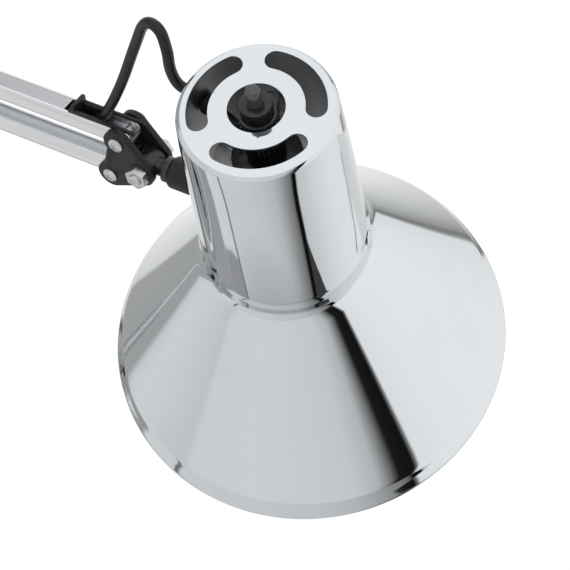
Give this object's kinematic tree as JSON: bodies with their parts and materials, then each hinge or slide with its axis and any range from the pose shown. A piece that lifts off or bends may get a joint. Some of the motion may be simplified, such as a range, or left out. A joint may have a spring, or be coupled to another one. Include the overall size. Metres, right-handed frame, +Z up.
{
  "type": "folding desk lamp",
  "caption": "Desk lamp with a weighted round base, two folding parallel-bar arms and a bright metal head with a slotted cap and a wide cone shade.",
  "frame": {"origin": "centre of the base's underside, on the swivel axis", "axes": "+Z up along the swivel axis, +X forward from the base under the head, +Y to the lamp's left; the arms lie in the XZ plane"},
  "size_m": [0.7848, 0.238, 0.6048],
  "materials": {
    "pad_rubber": "matte",
    "weight_iron": "matte",
    "bright_chrome": "polished",
    "black_steel": "satin",
    "zinc_steel": "satin",
    "bar_steel": "satin",
    "spring_steel": "polished",
    "bush_plastic": "matte",
    "black_rubber": "matte",
    "flex_black": "satin",
    "moulded_black": "satin",
    "pin_brass": "satin",
    "cap_aluminium": "satin",
    "bulb_glass": "gloss"
  },
  "bodies": {
    "base": {"base_pad": "pad_rubber", "base_weight": "weight_iron", "base_cover": "bright_chrome", "post_socket": "black_steel", "socket_screws": "zinc_steel", "post_bush": "bush_plastic", "strain_relief": "black_rubber", "base_cord": "flex_black", "mains_lead": "flex_black", "lead_coil": "flex_black", "coil_tie": "black_rubber", "plug_body": "moulded_black", "plug_pins": "pin_brass"},
    "turret": {"swivel_pin": "zinc_steel", "pin_clip": "zinc_steel", "turret_yoke": "black_steel", "turret_screws": "zinc_steel", "lower_spring_anchor": "zinc_steel"},
    "lower_main": {"lower_main_bar": "bar_steel", "lower_spring_pin": "zinc_steel", "lower_springs": "spring_steel", "lower_cord": "flex_black", "lower_cord_guides": "moulded_black", "turret_loop": "flex_black"},
    "lower_aux": {"lower_aux_bar": "bar_steel"},
    "elbow": {"elbow_plate_near": "moulded_black", "elbow_plate_far": "moulded_black", "elbow_spacers": "zinc_steel", "elbow_screws": "zinc_steel", "upper_spring_anchor": "zinc_steel", "elbow_loop_in": "flex_black"},
    "upper_main": {"upper_main_bar": "bar_steel", "upper_spring_pin": "zinc_steel", "upper_springs": "spring_steel", "upper_cord": "flex_black", "upper_cord_guides": "moulded_black", "elbow_loop_out": "flex_black"},
    "upper_aux": {"upper_aux_bar": "bar_steel"},
    "head_bracket": {"head_plate_near": "moulded_black", "head_plate_far": "moulded_black", "head_screws": "zinc_steel", "tilt_bolt": "zinc_steel", "tilt_nut": "zinc_steel", "head_loop_in": "flex_black"},
    "knuckle": {"tilt_knuckle": "black_steel", "neck_screw": "zinc_steel", "head_loop_mid": "flex_black"},
    "head": {"neck_sleeve": "moulded_black", "lamp_housing": "bright_chrome", "shade": "bright_chrome", "shade_rivets": "bright_chrome", "holder_bracket": "zinc_steel", "lampholder": "moulded_black", "switch_collar": "moulded_black", "cord_grommet": "black_rubber", "head_cord": "flex_black", "bulb_cap": "cap_aluminium", "bulb_glass": "bulb_glass", "head_loop_out": "flex_black"},
    "switch": {"switch_stem": "moulded_black"}
  },
  "joints": [
    {"name": "base_swivel", "type": "hinge", "parent": "base", "child": "turret", "pos_m": [0, 0, 0.0627], "axis": [0, 0, 1], "range_deg": [-170, 170]},
    {"name": "lower_hinge", "type": "hinge", "parent": "turret", "child": "lower_main", "pos_m": [0.008, 0, 0.10065], "axis": [0, 1, 0], "range_deg": [-20, 25], "deforming": ["turret_loop", "lower_springs"]},
    {"name": "lower_second_hinge", "type": "hinge", "parent": "turret", "child": "lower_aux", "pos_m": [0.0296, 0, 0.10665], "axis": [0, 1, 0], "range_deg": [-20, 25]},
    {"name": "elbow_hinge", "type": "hinge", "parent": "lower_main", "child": "elbow", "pos_m": [-0.05799, 0, 0.47488], "axis": [0, 1, 0], "range_deg": [-25, 20], "deforming": ["elbow_loop_in"]},
    {"name": "upper_hinge", "type": "hinge", "parent": "elbow", "child": "upper_main", "pos_m": [-0.02399, 0, 0.52688], "axis": [0, 1, 0], "range_deg": [-40, 45], "deforming": ["elbow_loop_out", "upper_springs"]},
    {"name": "upper_second_hinge", "type": "hinge", "parent": "elbow", "child": "upper_aux", "pos_m": [-0.02999, 0, 0.50488], "axis": [0, 1, 0], "range_deg": [-40, 45]},
    {"name": "bracket_hinge", "type": "hinge", "parent": "upper_main", "child": "head_bracket", "pos_m": [0.35601, 0, 0.52688], "axis": [0, 1, 0], "range_deg": [-45, 40], "deforming": ["head_loop_in"]},
    {"name": "head_tilt", "type": "hinge", "parent": "head_bracket", "child": "knuckle", "pos_m": [0.36751, 0, 0.51288], "axis": [0, 1, 0], "range_deg": [-45, 15], "deforming": ["head_loop_mid"]},
    {"name": "head_swivel", "type": "hinge", "parent": "knuckle", "child": "head", "pos_m": [0.36751, 0, 0.51288], "axis": [1, 0, 0], "range_deg": [-104.5, 75.5], "deforming": ["head_loop_out"]},
    {"name": "switch_press", "type": "slide", "parent": "head", "child": "switch", "axis": [0, 0.2504, -0.9681], "range_m": [0, 0.003], "stiffness_N_per_m": 400, "springref_m": -0.001}
  ],
  "couplings": [
    {"joint": "lower_second_hinge", "follows": "lower_hinge", "ratio": 1},
    {"joint": "elbow_hinge", "follows": "lower_hinge", "ratio": -1},
    {"joint": "upper_second_hinge", "follows": "upper_hinge", "ratio": 1},
    {"joint": "bracket_hinge", "follows": "upper_hinge", "ratio": -1}
  ]
}
